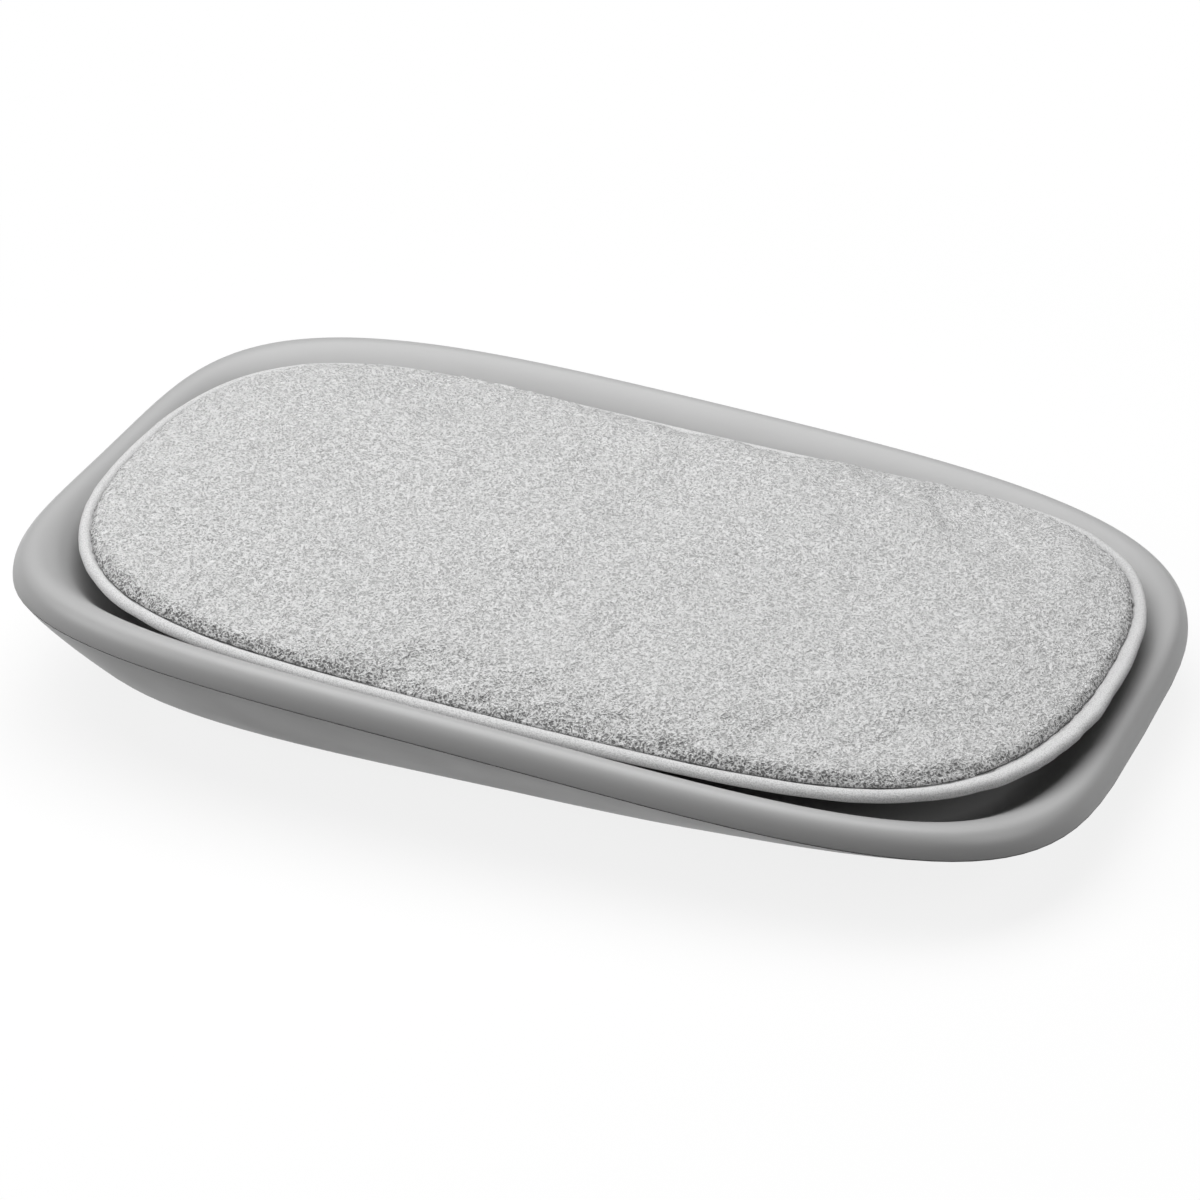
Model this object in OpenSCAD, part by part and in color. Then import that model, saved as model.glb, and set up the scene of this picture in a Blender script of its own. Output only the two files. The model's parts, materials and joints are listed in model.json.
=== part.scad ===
// Kneeling pad: a loose terry cushion lying in a wedge-shaped moulded tray.
// Millimetres. The origin is the middle of the footprint, on the ground.
// +X runs along the pad towards its low end, +Z is up.
// Outlines are superellipses: |x/hl|^nx + |y/hw|^ny = 1.

/* [Tray] */
// Overall length, over the widest line of the rim
tray_l = 520; // [440:5:640]
// Overall width, over the widest line of the rim
tray_w = 340; // [290:5:420]
// Squareness of the tray outline across its ends
tray_nx = 3.8; // [3:0.1:5]
// Squareness of the tray outline along its sides
tray_ny = 4.2; // [3:0.1:5]
// Height of the joint line above the ground, at the middle
seam_h = 51.5; // [46:0.5:80]
// Slope of the rim down to the low end, in degrees
rim_tilt = 3.7; // [1:0.1:4.5]
// How far the joint line climbs at the long sides
side_rise = 5.6; // [0:0.2:10]
// How far the joint line sinks at the two ends
end_dip = 3.9; // [0:0.2:6]
// Height of the rolled rim above the joint line
rim_h = 12; // [9:0.5:16]
// How far the top of the rim lies inside the widest line
rim_in = 7.5; // [5:0.5:12]
// Wall of both mouldings
wall = 3; // [2.2:0.1:3.6]

/* [Dish] */
// Depth of the dish floor below the joint line, at the middle
dish_depth = 14; // [8:0.5:16]
// Slope of the dish floor down to the low end, in degrees
dish_tilt = 2.7; // [1:0.1:3.5]
// Width of the curved slope between the rim and the dish floor
slope_w = 36; // [32:1:44]

/* [Joint line] */
// Visible gap between the two mouldings
seam_gap = 0.5; // [0.3:0.1:1]
// Height of the tongue that stands on the lower moulding, inside the lip of the upper one
tongue_h = 3.5; // [2:0.5:5]
// Thickness of the tongue
tongue_t = 1.5; // [1.2:0.1:2]
// Side clearance of the tongue
tongue_clear = 0.25; // [0.15:0.05:0.4]

/* [Base] */
// Overhang of the rim beyond the underside, at the high end
overhang_high = 19; // [12:1:40]
// Overhang of the rim beyond the underside, at the low end
overhang_low = 62; // [40:1:80]
// Overhang of the rim beyond the underside, at each side
overhang_side = 62; // [45:1:70]
// Squareness of the underside's outline
base_n = 3.4; // [3:0.1:4.5]
// Swell of the flared wall: 1 is a straight wall
flare_swell = 1.1; // [1:0.05:1.5]
// Rounding of the bottom edge
base_round = 8; // [5:0.5:10]

/* [Feet] */
// Diameter of a rubber foot
foot_d = 22; // [16:1:28]
// How far a foot stands out of the underside
foot_out = 2; // [1.5:0.25:3]
// Depth of a foot's seat in the underside
foot_seat = 1; // [0.6:0.1:1.4]
// Diameter of a foot's neck
foot_neck_d = 6; // [4:0.5:8]
// Distance of a foot's middle from the end of the underside
foot_inset_x = 44; // [40:1:80]
// Distance of a foot's middle from the side of the underside
foot_inset_y = 39; // [34:1:50]

/* [Screws] */
// Thread diameter of a screw
screw_d = 4; // [3:0.5:4.5]
// Head diameter of a screw
screw_head_d = 8; // [6:0.5:9]
// Height of a screw's head
screw_head_h = 2.6; // [2:0.2:3]
// Length of a screw under its head
screw_l = 12; // [9:1:14]
// Diameter of a screw boss
boss_d = 11; // [9:0.5:14]
// Height of a screw post, over the underside
post_h = 7; // [6:0.5:9]
// Distance of the outer screws from the end of the underside
screw_inset_x = 114; // [100:2:150]
// Distance of the screws from the side of the underside
screw_inset_y = 46; // [36:1:60]

/* [Cushion] */
// Distance of the piping from the rim's widest line, at the ends
cushion_inset_x = 17; // [14:0.5:30]
// Distance of the piping from the rim's widest line, at the sides
cushion_inset_y = 26.5; // [22:0.5:40]
// Squareness of the cushion outline across its ends
cushion_nx = 5.2; // [3:0.1:6]
// Squareness of the cushion outline along its sides
cushion_ny = 2.4; // [2.2:0.05:3.5]
// Height of the piping above the dish floor
cushion_under = 22; // [18:1:30]
// How far the two ends curl up, where they ride on the slope
end_curl = 7.5; // [0:0.5:10]
// Shift of the cushion towards the low end
cushion_shift = 3.5; // [0:0.5:6]
// Rise of the cushion close inside its piping
edge_rise = 9; // [6:0.5:14]
// Further rise of the crown towards the middle
crown_rise = 7; // [3:0.5:14]
// Thickness of the terry
terry_t = 2.2; // [1.4:0.2:3]
// Thickness of the underside cloth
cloth_t = 1.2; // [0.8:0.1:1.6]
// Clearance between the cushion and the dish floor
floor_clear = 0.3; // [0.2:0.1:0.6]
// Clearance between the cushion and the dish slope
slope_clear = 1.2; // [0.8:0.1:2]

/* [Piping] */
// Outer diameter of the piping
piping_d = 5.6; // [4.6:0.2:7]
// Thickness of the piping's cloth
piping_t = 0.8; // [0.5:0.1:1]
// Width of the flange that is sewn in between the panels
flange_w = 7; // [5:0.5:9]

/* [Hidden] */

fit = 0.05;              // gap between pieces of one body that touch
tray_steps = 96;         // points round each outline of the mouldings
cushion_steps = 72;      // points round each outline of the cushion
slope_steps = 8;
rim_steps = 5;
lip_steps = 4;
tray_hl = tray_l / 2;
tray_hw = tray_w / 2;
cushion_hl = tray_hl - cushion_inset_x;
cushion_hw = tray_hw - cushion_inset_y;
base_l = tray_l - overhang_high - overhang_low;
base_w = tray_w - 2 * overhang_side;
base_shift = (overhang_low - overhang_high) / 2;
foot_span_x = base_l - 2 * foot_inset_x;
foot_span_y = base_w - 2 * foot_inset_y;
screw_span_x = base_l - 2 * screw_inset_x;
screw_span_y = base_w - 2 * screw_inset_y;
piping_r = piping_d / 2;
cord_r = piping_r - piping_t - fit;
slit = 0.1;              // half the gap between the two flanges
flange_h = slit + piping_t;
shoulder = 0.5;           // least top face behind the tongue
cut_over = 1;             // how far a cut runs past the face it opens
post_d = boss_d + 3;      // post that stands under a screw boss
head_clear = 0.5;         // round a screw's head in its recess
shank_clear = 0.3;        // round a screw in its post
point_h = 2;              // pointed end of a screw
underside_z = foot_out;
inner_floor_z = underside_z + wall;
post_top_z = underside_z + post_h;
screw_seat_z = post_top_z - wall;

// rings of the cushion's panels, as shares of the way out to the piping
flat_share = 0.8;             // the underside is flat up to here
top_shares = [1, 0.99, 0.97, 0.94, 0.89, 0.8, 0.6, 0.3];
under_shares = [1, 0.98, 0.95, 0.91, 0.86, flat_share];
core_shares = [0.6, 0.86, 0.94, 0.98];
edge_power = 10;              // how sharply the crown turns down at the piping
ride_power = 6;               // how far in from the piping a ride is felt
panel_in = piping_r;          // where the panels meet the piping
panel_lift = 1.9;             // height of the panels' outer edge on the piping
flange_end = piping_r + flange_w;
core_in = flange_end + 0.6;   // the foam ends just inside the flange
section_steps = 5;            // sides of the piping's round section
closing_tries = 14;           // halvings that find a point's inset on the slope

// ---- outlines ----

function signed_power(c, e) = sign(c) * pow(abs(c), e);

// point of the unit superellipse at angle a
function unit_point(nx, ny, a) = [signed_power(cos(a), 2 / nx), signed_power(sin(a), 2 / ny)];

// outward normal of a superellipse at angle a
function outward(hl, hw, nx, ny, a) =
    let (u = unit_point(nx, ny, a),
         g = [nx * signed_power(u[0], nx - 1) / hl, ny * signed_power(u[1], ny - 1) / hw])
    g / norm(g);

function turned(list) = [for (k = [len(list) - 1 : -1 : 0]) list[k]];

function angles() = [for (k = [0 : tray_steps - 1]) 360 * k / tray_steps];

function tray_point(inset, a) =
    let (u = unit_point(tray_nx, tray_ny, a))
    [(tray_hl - inset) * u[0], (tray_hw - inset) * u[1]];

// height of the joint line over a point of the widest outline
function seam_z(p) =
    seam_h - tan(rim_tilt) * p[0]
    + side_rise * pow(p[1] / tray_hw, 2) - end_dip * pow(p[0] / tray_hl, 2);

function dish_floor_z(x) = seam_h - dish_depth - tan(dish_tilt) * x;

// ---- dish: an S-shaped slope from the rim's crown to the floor ----

function ease(t) = t * t * (3 - 2 * t);
function ease_rate(t) = 6 * t * (1 - t);

function slope_z(t, rim_point, p) =
    let (crown = seam_z(rim_point) + rim_h)
    crown + (dish_floor_z(p[0]) - crown) * ease(t);

function tray_ring(inset, lift) =
    [for (a = angles()) let (p = tray_point(inset, a))
        [p[0], p[1], seam_z(tray_point(0, a)) + lift]];

// ring on the slope at t, dropped square to the surface by skin
function slope_ring(t, skin) =
    [for (a = angles())
        let (p = tray_point(rim_in + slope_w * t, a),
             edge = tray_point(0, a),
             depth = seam_z(edge) + rim_h - dish_floor_z(p[0]),
             steepness = depth * ease_rate(t) / slope_w)
        [p[0], p[1], slope_z(t, edge, p) - skin * sqrt(1 + steepness * steepness)]];

// height of the dish over any point, found by closing in on its inset
function inset_of(x, y, low, high, tries) =
    let (mid = (low + high) / 2,
         size = pow(abs(x) / (tray_hl - mid), tray_nx) + pow(abs(y) / (tray_hw - mid), tray_ny))
    tries == 0 ? mid
    : size > 1 ? inset_of(x, y, low, mid, tries - 1)
    : inset_of(x, y, mid, high, tries - 1);

function dish_z(x, y) =
    let (inset = inset_of(x, y, 0, rim_in + slope_w, closing_tries),
         t = max(0, min(1, (inset - rim_in) / slope_w)),
         edge = [x * tray_hl / (tray_hl - inset), y * tray_hw / (tray_hw - inset)])
    slope_z(t, edge, [x, y]);

// ---- solids through rings ----

function middle(ring) =
    [for (i = [0 : 2]) (min([for (p = ring) p[i]]) + max([for (p = ring) p[i]])) / 2];

function band(first, second, n) =
    [for (i = [0 : n - 1]) let (j = (i + 1) % n)
        each [[first + i, first + j, second + j], [first + i, second + j, second + i]]];

// closed solid: rings joined in order, with a fan over the first and the last
module loft(rings) {
    n = len(rings[0]);
    m = len(rings);
    last = (m - 1) * n;
    polyhedron(
        points = concat([for (r = rings) each r], [middle(rings[0]), middle(rings[m - 1])]),
        faces = concat(
            [for (k = [0 : m - 2]) each band(k * n, (k + 1) * n, n)],
            [for (i = [0 : n - 1]) [m * n, (i + 1) % n, i]],
            [for (i = [0 : n - 1]) [m * n + 1, last + i, last + (i + 1) % n]]),
        convexity = 8);
}

// closed hoop: rings joined in order, and the last to the first
module hoop(rings) {
    n = len(rings[0]);
    m = len(rings);
    polyhedron(
        points = [for (r = rings) each r],
        faces = [for (k = [0 : m - 1]) each band(((k + 1) % m) * n, k * n, n)],
        convexity = 8);
}

// ---- tray ----

// corners of a rectangle about the middle of the underside
function spots(span_x, span_y) =
    [for (sx = [-1, 1]) for (sy = [-1, 1]) [sx * span_x / 2 - base_shift, sy * span_y / 2]];

screw_spots = concat(
    spots(screw_span_x, screw_span_y),
    [for (side = [-1, 1]) [-base_shift, side * screw_span_y / 2]]);

// how far in the hollow side of the rim's lip lies, at a height over the joint line
function lip_inset(h) =
    let (rise = (h - seam_gap / 2) / (rim_h - wall - seam_gap / 2))
    wall + (rim_in - wall) * (1 - sqrt(1 - rise * rise));

module tray_top_shell() {
    loft(concat(
        [for (k = [slope_steps : -1 : 0]) slope_ring(k / slope_steps, 0)],
        [for (k = [rim_steps - 1 : -1 : 0]) let (a = 90 * k / rim_steps)
            tray_ring(rim_in * (1 - cos(a)), seam_gap / 2 + (rim_h - seam_gap / 2) * sin(a))],
        [for (k = [0 : lip_steps - 1])
            let (h = seam_gap / 2 + (rim_h - wall - seam_gap / 2) * sin(90 * k / lip_steps))
            tray_ring(lip_inset(h), h)],
        [for (k = [0 : slope_steps]) slope_ring(k / slope_steps, wall)]));
}

module tray_top() {
    color([0.66, 0.66, 0.66])
    difference() {
        union() {
            tray_top_shell();
            for (p = screw_spots)
                translate([p[0], p[1], post_top_z])
                    cylinder(d = boss_d, h = dish_floor_z(p[0]) - wall / 2 - post_top_z, $fn = 40);
        }
        for (p = screw_spots)
            translate([p[0], p[1], post_top_z - cut_over])
                cylinder(d = screw_d + 2 * fit, h = screw_l - wall + 2 * cut_over, $fn = 40);
    }
}

// ---- base ----

function base_point(a) =
    let (u = unit_point(base_n, base_n, a))
    [base_l / 2 * u[0] - base_shift, base_w / 2 * u[1]];

// point of the flared wall: v is 0 at the underside and 1 at the joint line
function flare_point(v, a, skin) =
    let (top = tray_point(0, a),
         foot = base_point(a),
         u = unit_point(tray_nx, tray_ny, a),
         rise = seam_z(top) - underside_z,
         lean = norm(top - foot) / rise,
         out = 1 - pow(1 - v, flare_swell),
         soft = base_round * pow(max(0, 1 - v * rise / base_round), 2),
         inward = soft + skin * sqrt(1 + lean * lean),
         p = foot + (top - foot) * out - inward * u)
    [p[0], p[1], underside_z + rise * v];

function flare_ring(v, skin) = [for (a = angles()) flare_point(v, a, skin)];

// ring on the wall at one height over the underside
function level_ring(h, skin) =
    [for (a = angles()) flare_point(h / (seam_z(tray_point(0, a)) - underside_z), a, skin)];

wall_levels = [0, 0.02, 0.05, 0.1, 0.17, 0.3, 0.45, 0.6, 0.75, 0.87, 0.95];
inner_levels = [0.17, 0.3, 0.5, 0.7, 0.88];

// inner edge of the tub's top face: where the wall comes up, or behind the tongue if that is further in
function shoulder_ring(tongue_back) =
    [for (a = angles())
        let (u = unit_point(tray_nx, tray_ny, a),
             edge = tray_point(0, a),
             wall_in = (edge - flare_point(1, a, wall)) * u / (u * u),
             p = tray_point(max(wall_in, tongue_back), a))
        [p[0], p[1], seam_z(edge) - seam_gap / 2]];

module base_tub() {
    foot_in = wall + tongue_clear;
    top_in = lip_inset(tongue_h) + tongue_clear;
    back_in = top_in + tongue_t;
    loft(concat(
        [level_ring(wall, wall)],
        [for (v = inner_levels) flare_ring(v, wall)],
        [shoulder_ring(back_in + shoulder),
         tray_ring(back_in, -seam_gap / 2),
         tray_ring(back_in, tongue_h),
         tray_ring(top_in, tongue_h),
         tray_ring(foot_in, -seam_gap / 2),
         tray_ring(0, -seam_gap / 2)],
        [for (v = turned(wall_levels)) flare_ring(v, 0)]));
}

module base_shell() {
    color([0.62, 0.62, 0.62])
    difference() {
        union() {
            base_tub();
            for (p = screw_spots)
                translate([p[0], p[1], underside_z + wall / 2])
                    cylinder(d = post_d, h = post_h - wall / 2 - fit, $fn = 40);
        }
        for (p = screw_spots) {
            translate([p[0], p[1], underside_z - cut_over])
                cylinder(d = screw_head_d + 2 * head_clear,
                         h = screw_seat_z - underside_z + cut_over, $fn = 40);
            translate([p[0], p[1], underside_z])
                cylinder(d = screw_d + 2 * shank_clear, h = post_h + cut_over, $fn = 40);
        }
        for (p = spots(foot_span_x, foot_span_y)) {
            translate([p[0], p[1], underside_z - cut_over])
                cylinder(d = foot_d + 2 * fit, h = foot_seat + cut_over, $fn = 64);
            translate([p[0], p[1], underside_z])
                cylinder(d = foot_neck_d + 2 * fit, h = wall + cut_over, $fn = 40);
        }
    }
}

module screws() {
    chamfer = 0.7;
    tip_r = 0.4;
    head_r = screw_head_d / 2;
    shank_r = screw_d / 2;
    color([0.75, 0.75, 0.77])
    for (p = screw_spots)
        translate([p[0], p[1], screw_seat_z - fit])
            rotate_extrude($fn = 40)
                polygon([[0, -screw_head_h], [head_r - chamfer, -screw_head_h],
                         [head_r, chamfer - screw_head_h], [head_r, 0],
                         [shank_r, 0], [shank_r, screw_l - point_h],
                         [tip_r, screw_l], [0, screw_l]]);
}

// rubber foot: a rounded pad, a neck through the moulding and a barb inside it
module foot(p) {
    edge = 1;
    barb_h = 4;
    barb_lip = 0.8;
    r = foot_d / 2;
    neck = foot_neck_d / 2;
    barb = neck + 1.2;
    barb_tip = neck - 0.6;
    seat_z = underside_z + foot_seat - fit;
    barb_z = inner_floor_z + fit;
    color([0.18, 0.18, 0.19])
    translate([p[0], p[1], 0])
        rotate_extrude($fn = 64)
            polygon(concat([[0, 0]],
                [for (a = [-90 : 22.5 : 0]) [r - edge + edge * cos(a), edge + edge * sin(a)]],
                [[r, seat_z], [neck, seat_z], [neck, barb_z], [barb, barb_z],
                 [barb, barb_z + barb_lip], [barb_tip, barb_z + barb_h], [0, barb_z + barb_h]]));
}

foot_spots = spots(foot_span_x, foot_span_y);
module foot_high_right() { foot(foot_spots[0]); }
module foot_high_left() { foot(foot_spots[1]); }
module foot_low_right() { foot(foot_spots[2]); }
module foot_low_left() { foot(foot_spots[3]); }

// ---- cushion ----

function rest_z(x) = dish_floor_z(x) + floor_clear;

function free_piping_z(x) =
    rest_z(x) + cushion_under + end_curl * pow((x - cushion_shift) / cushion_hl, 2);

// where the slope is too near, the piping rides up on it
function piping_ride(a) =
    let (p = cushion_point(0, 1, a),
         q = p + piping_r * outward(cushion_hl, cushion_hw, cushion_nx, cushion_ny, a),
         under = max(dish_z(p[0], p[1]) + piping_r, dish_z(q[0], q[1])) + slope_clear)
    max(0, under - free_piping_z(p[0]));

rides = [for (s = stations()) piping_ride(s[1])];

// height of the piping's plane at x, raised by the ride at its edge
function piping_z(x, share, station) = free_piping_z(x) + rides[station] * pow(share, ride_power);

function stations() = [for (k = [0 : cushion_steps - 1]) [k, 360 * k / cushion_steps]];

function cushion_point(inset, share, a) =
    let (u = unit_point(cushion_nx, cushion_ny, a))
    [(cushion_hl - inset) * share * u[0] + cushion_shift, (cushion_hw - inset) * share * u[1]];

// rise of the top panel over its edge, at a share of the half width
function top_rise(share, edge) =
    edge * sqrt(max(0, 1 - pow(share, edge_power))) + crown_rise * (1 - share * share);

function top_ring(inset, share, start, edge) =
    [for (s = stations()) let (p = cushion_point(inset, share, s[1]))
        [p[0], p[1], piping_z(p[0], share, s[0]) + start + top_rise(share, edge)]];

// the underside is flat on the dish floor, then follows the slope or swells up to the piping
function under_lift(share) =
    let (t = max(0, share - flat_share) / (1 - flat_share))
    1 - sqrt(max(0, 1 - t * t));

function under_ring(inset, share, start, skin) =
    [for (s = stations())
        let (p = cushion_point(inset, share, s[1]),
             clear = share > flat_share ? slope_clear : floor_clear,
             edge_z = piping_z(p[0], share, s[0]) - start,
             free_z = rest_z(p[0]) + (edge_z - rest_z(p[0])) * under_lift(share))
        [p[0], p[1], skin + max(dish_z(p[0], p[1]) + clear, free_z)]];

module cover_top() {
    lining_in = panel_in + terry_t;
    seat = flange_h + fit;
    color([0.83, 0.83, 0.83])
    loft(concat(
        [for (s = turned(top_shares)) top_ring(panel_in, s, panel_lift, edge_rise)],
        [top_ring(panel_in, 1, seat, 0)],
        [for (s = top_shares) top_ring(lining_in, s, seat, edge_rise + panel_lift - seat - terry_t)]));
}

module cover_underside() {
    lining_in = panel_in + cloth_t;
    seat = flange_h + fit;
    color([0.72, 0.72, 0.72])
    loft(concat(
        [for (s = turned(under_shares)) under_ring(lining_in, s, seat + cloth_t, cloth_t)],
        [top_ring(panel_in, 1, -seat, 0)],
        [for (s = under_shares) under_ring(panel_in, s, panel_lift, 0)]));
}

module cushion_core() {
    seat = flange_h + fit;
    edge = edge_rise + panel_lift - seat - terry_t;
    color([0.95, 0.93, 0.86])
    loft(concat(
        [for (s = core_shares) top_ring(core_in, s, seat - fit, edge)],
        [for (s = turned(core_shares)) under_ring(core_in, s, seat + cloth_t, cloth_t + fit)]));
}

// a section point of the piping: out along the outline's normal, up from its middle
function piping_station(station, section) =
    let (p = cushion_point(0, 1, station[1]),
         n = outward(cushion_hl, cushion_hw, cushion_nx, cushion_ny, station[1]))
    [for (s = section) let (q = p + s[0] * n) [q[0], q[1], piping_z(q[0], 1, station[0]) + s[1]]];

function arc(r, from, to, steps) =
    [for (k = [0 : steps]) let (a = from + (to - from) * k / steps) [r * cos(a), r * sin(a)]];

module piping_cover() {
    inner_r = piping_r - piping_t;
    outer_turn = 180 - asin(flange_h / piping_r);
    inner_turn = 180 - asin(slit / inner_r);
    section = concat(
        [[-flange_end, flange_h]], arc(piping_r, outer_turn, -outer_turn, section_steps),
        [[-flange_end, -flange_h], [-flange_end, -slit]],
        arc(inner_r, -inner_turn, inner_turn, section_steps + 1),
        [[-flange_end, slit]]);
    color([0.86, 0.86, 0.86])
    hoop([for (s = stations()) piping_station(s, section)]);
}

module piping_cord() {
    color([0.93, 0.93, 0.9])
    hoop([for (s = stations()) piping_station(s, arc(cord_r, 180, -120, section_steps))]);
}

tray_top();
base_shell();
screws();
foot_high_left();
foot_high_right();
foot_low_left();
foot_low_right();
cushion_core();
cover_top();
cover_underside();
piping_cover();
piping_cord();
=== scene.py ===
"""Looks of a kneeling pad: a piped terry cushion lying loose in a wedge-shaped moulded tray."""
import json
import math

import bpy
import numpy as np
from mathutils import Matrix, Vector


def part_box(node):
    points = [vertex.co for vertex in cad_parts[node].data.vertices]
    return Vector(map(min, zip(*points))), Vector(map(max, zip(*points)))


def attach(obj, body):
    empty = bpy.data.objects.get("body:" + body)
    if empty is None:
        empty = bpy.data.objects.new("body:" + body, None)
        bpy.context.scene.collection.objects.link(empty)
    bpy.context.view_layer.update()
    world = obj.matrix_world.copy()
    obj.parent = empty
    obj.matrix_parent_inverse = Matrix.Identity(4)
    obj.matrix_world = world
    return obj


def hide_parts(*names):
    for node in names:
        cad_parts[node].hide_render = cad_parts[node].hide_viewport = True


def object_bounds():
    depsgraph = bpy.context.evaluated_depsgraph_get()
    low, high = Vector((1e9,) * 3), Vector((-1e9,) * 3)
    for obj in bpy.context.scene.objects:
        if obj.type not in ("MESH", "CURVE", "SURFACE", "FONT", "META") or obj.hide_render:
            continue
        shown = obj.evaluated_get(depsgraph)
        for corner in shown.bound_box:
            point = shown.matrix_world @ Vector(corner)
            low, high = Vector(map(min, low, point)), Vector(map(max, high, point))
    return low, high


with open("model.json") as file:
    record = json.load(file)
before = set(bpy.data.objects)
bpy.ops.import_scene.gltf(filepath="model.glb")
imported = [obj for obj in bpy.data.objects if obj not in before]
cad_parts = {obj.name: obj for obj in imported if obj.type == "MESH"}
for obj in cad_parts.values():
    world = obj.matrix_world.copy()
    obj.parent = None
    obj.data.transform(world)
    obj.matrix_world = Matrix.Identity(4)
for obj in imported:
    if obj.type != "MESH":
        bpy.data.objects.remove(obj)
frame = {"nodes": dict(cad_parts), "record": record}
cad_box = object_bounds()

# ---- sizes of the pad, in metres ----

TRAY_NX, TRAY_NY = 3.8, 4.2        # squareness of the tray outline
SEAM_H = 0.0515                    # joint line above the ground, at the middle
RIM_SLOPE = math.tan(math.radians(3.7))
SIDE_RISE = 0.0056
END_DIP = 0.0039
RIM_H, RIM_IN = 0.012, 0.0075
WALL = 0.003                       # thickness of the upper moulding
DISH_DEPTH = 0.014
DISH_SLOPE = math.tan(math.radians(2.7))
SLOPE_W = 0.036
SEAM_GAP = 0.0005                  # gap between the two mouldings

CUSHION_NX, CUSHION_NY = 5.2, 2.4  # squareness of the cushion outline
CUSHION_UNDER = 0.022              # piping above the dish floor
END_CURL = 0.0075
EDGE_RISE, CROWN_RISE = 0.009, 0.007
EDGE_POWER = 10
PANEL_LIFT = 0.0019                # outer edge of the panels on the piping
TERRY_T, CLOTH_T = 0.0022, 0.0012
FLOOR_CLEAR, SLOPE_CLEAR = 0.0003, 0.0012
FLAT_SHARE = 0.74                  # the underside is flat on the dish up to here
TUCK_POWER = 1.4                   # how soon it tucks in below the piping
FLANGE_W = 0.007
FLANGE_HALF = 0.0009               # half the flange's thickness, and of the slit it leaves by
FOAM_GAP, FOAM_TOP_GAP = 0.0006, 0.0008
# the stretch where the piping's cloth lies wide
WIDE_AT, WIDE_SPREAD = math.radians(-20), math.radians(38)
WIDE_SHARE = 1.2                   # how much wider its inner half is there

tray_low, tray_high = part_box("tray_top")
TRAY_HL = (tray_high.x - tray_low.x) / 2
TRAY_HW = (tray_high.y - tray_low.y) / 2
piping_low, piping_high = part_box("piping_cover")
PIPING_R = 0.0028                  # outside of the piping
CORD_R = 0.00195                   # the cord in it
CUSHION_X = (piping_low.x + piping_high.x) / 2
CUSHION_HL = (piping_high.x - piping_low.x) / 2 - PIPING_R
CUSHION_HW = (piping_high.y - piping_low.y) / 2 - PIPING_R

# ---- view ----

VIEW_AZ, VIEW_EL = math.radians(21.66), math.radians(29.39)
VIEW_DISTANCE = 2.2937
VIEW_LENS = 142.71
VIEW_TARGET = Vector((-0.0303, 0.0718, 0.002))
SENSOR_W = 36
NEAR, FAR = 0.05, 60


def make_camera():
    """The camera, looking down at the pad from the front and a little to the right."""
    data = bpy.data.cameras.new("camera")
    data.lens = VIEW_LENS
    data.sensor_width = SENSOR_W
    data.clip_start, data.clip_end = NEAR, FAR
    camera = bpy.data.objects.new("camera", data)
    bpy.context.scene.collection.objects.link(camera)
    back = Vector((math.sin(VIEW_AZ) * math.cos(VIEW_EL),
                   -math.cos(VIEW_AZ) * math.cos(VIEW_EL),
                   math.sin(VIEW_EL)))
    camera.location = VIEW_TARGET + VIEW_DISTANCE * back
    camera.rotation_euler = back.to_track_quat("Z", "Y").to_euler()
    bpy.context.scene.camera = camera


# ---- outlines and surfaces ----

OUTLINE_STEPS = 20001              # points that an outline's length is measured with
CLOSING_TRIES = 24                 # halvings that find a point's inset from the rim


def unit_outline(nx, ny, angles):
    """Points of the unit superellipse |x|^nx + |y|^ny = 1."""
    c, s = np.cos(angles), np.sin(angles)
    x = np.sign(c) * np.abs(c) ** (2 / nx)
    y = np.sign(s) * np.abs(s) ** (2 / ny)
    return np.stack([x, y], -1)


def even_angles(nx, ny, hl, hw, count, start=0.0, stop=2 * math.pi, closed=True):
    """Angles at which the outline's points are evenly spaced along it."""
    fine = np.linspace(start, stop, OUTLINE_STEPS)
    points = unit_outline(nx, ny, fine) * (hl, hw)
    lengths = np.linalg.norm(np.diff(points, axis=0), axis=1)
    run = np.concatenate([[0], np.cumsum(lengths)])
    steps = np.arange(count) / (count if closed else count - 1)
    return np.interp(steps * run[-1], run, fine)


def seam_z(x, y):
    """Height of the joint line: falling to the low end, up at the sides and down at the ends."""
    return SEAM_H - RIM_SLOPE * x + SIDE_RISE * (y / TRAY_HW) ** 2 - END_DIP * (x / TRAY_HL) ** 2


def dish_floor_z(x):
    """Height of the dish's tilted flat floor."""
    return SEAM_H - DISH_DEPTH - DISH_SLOPE * x


def ease(t):
    """0 to 1 with a level start and end."""
    return t * t * (3 - 2 * t)


def dish_z(x, y):
    """Height of the dish over any point, found by closing in on its inset from the rim."""
    low, high = np.zeros_like(x), np.full_like(x, RIM_IN + SLOPE_W)
    for _ in range(CLOSING_TRIES):
        mid = (low + high) / 2
        along = (np.abs(x) / (TRAY_HL - mid)) ** TRAY_NX
        across = (np.abs(y) / (TRAY_HW - mid)) ** TRAY_NY
        outside = along + across > 1
        high = np.where(outside, mid, high)
        low = np.where(outside, low, mid)
    inset = (low + high) / 2
    t = np.clip((inset - RIM_IN) / SLOPE_W, 0, 1)
    edge_x = x * TRAY_HL / (TRAY_HL - inset)
    edge_y = y * TRAY_HW / (TRAY_HW - inset)
    crown = seam_z(edge_x, edge_y) + RIM_H
    return crown + (dish_floor_z(x) - crown) * ease(t)


def piping_z(x):
    """Height of the piping's centreline, which curls up towards both ends."""
    rest = dish_floor_z(x) + FLOOR_CLEAR
    return rest + CUSHION_UNDER + END_CURL * ((x - CUSHION_X) / CUSHION_HL) ** 2


def top_rise(share):
    """Rise of the terry over the piping at a share of the way out: steep edge, slow crown."""
    edge = EDGE_RISE * np.sqrt(np.clip(1 - share ** EDGE_POWER, 0, 1))
    return edge + CROWN_RISE * (1 - share ** 2)


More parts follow.
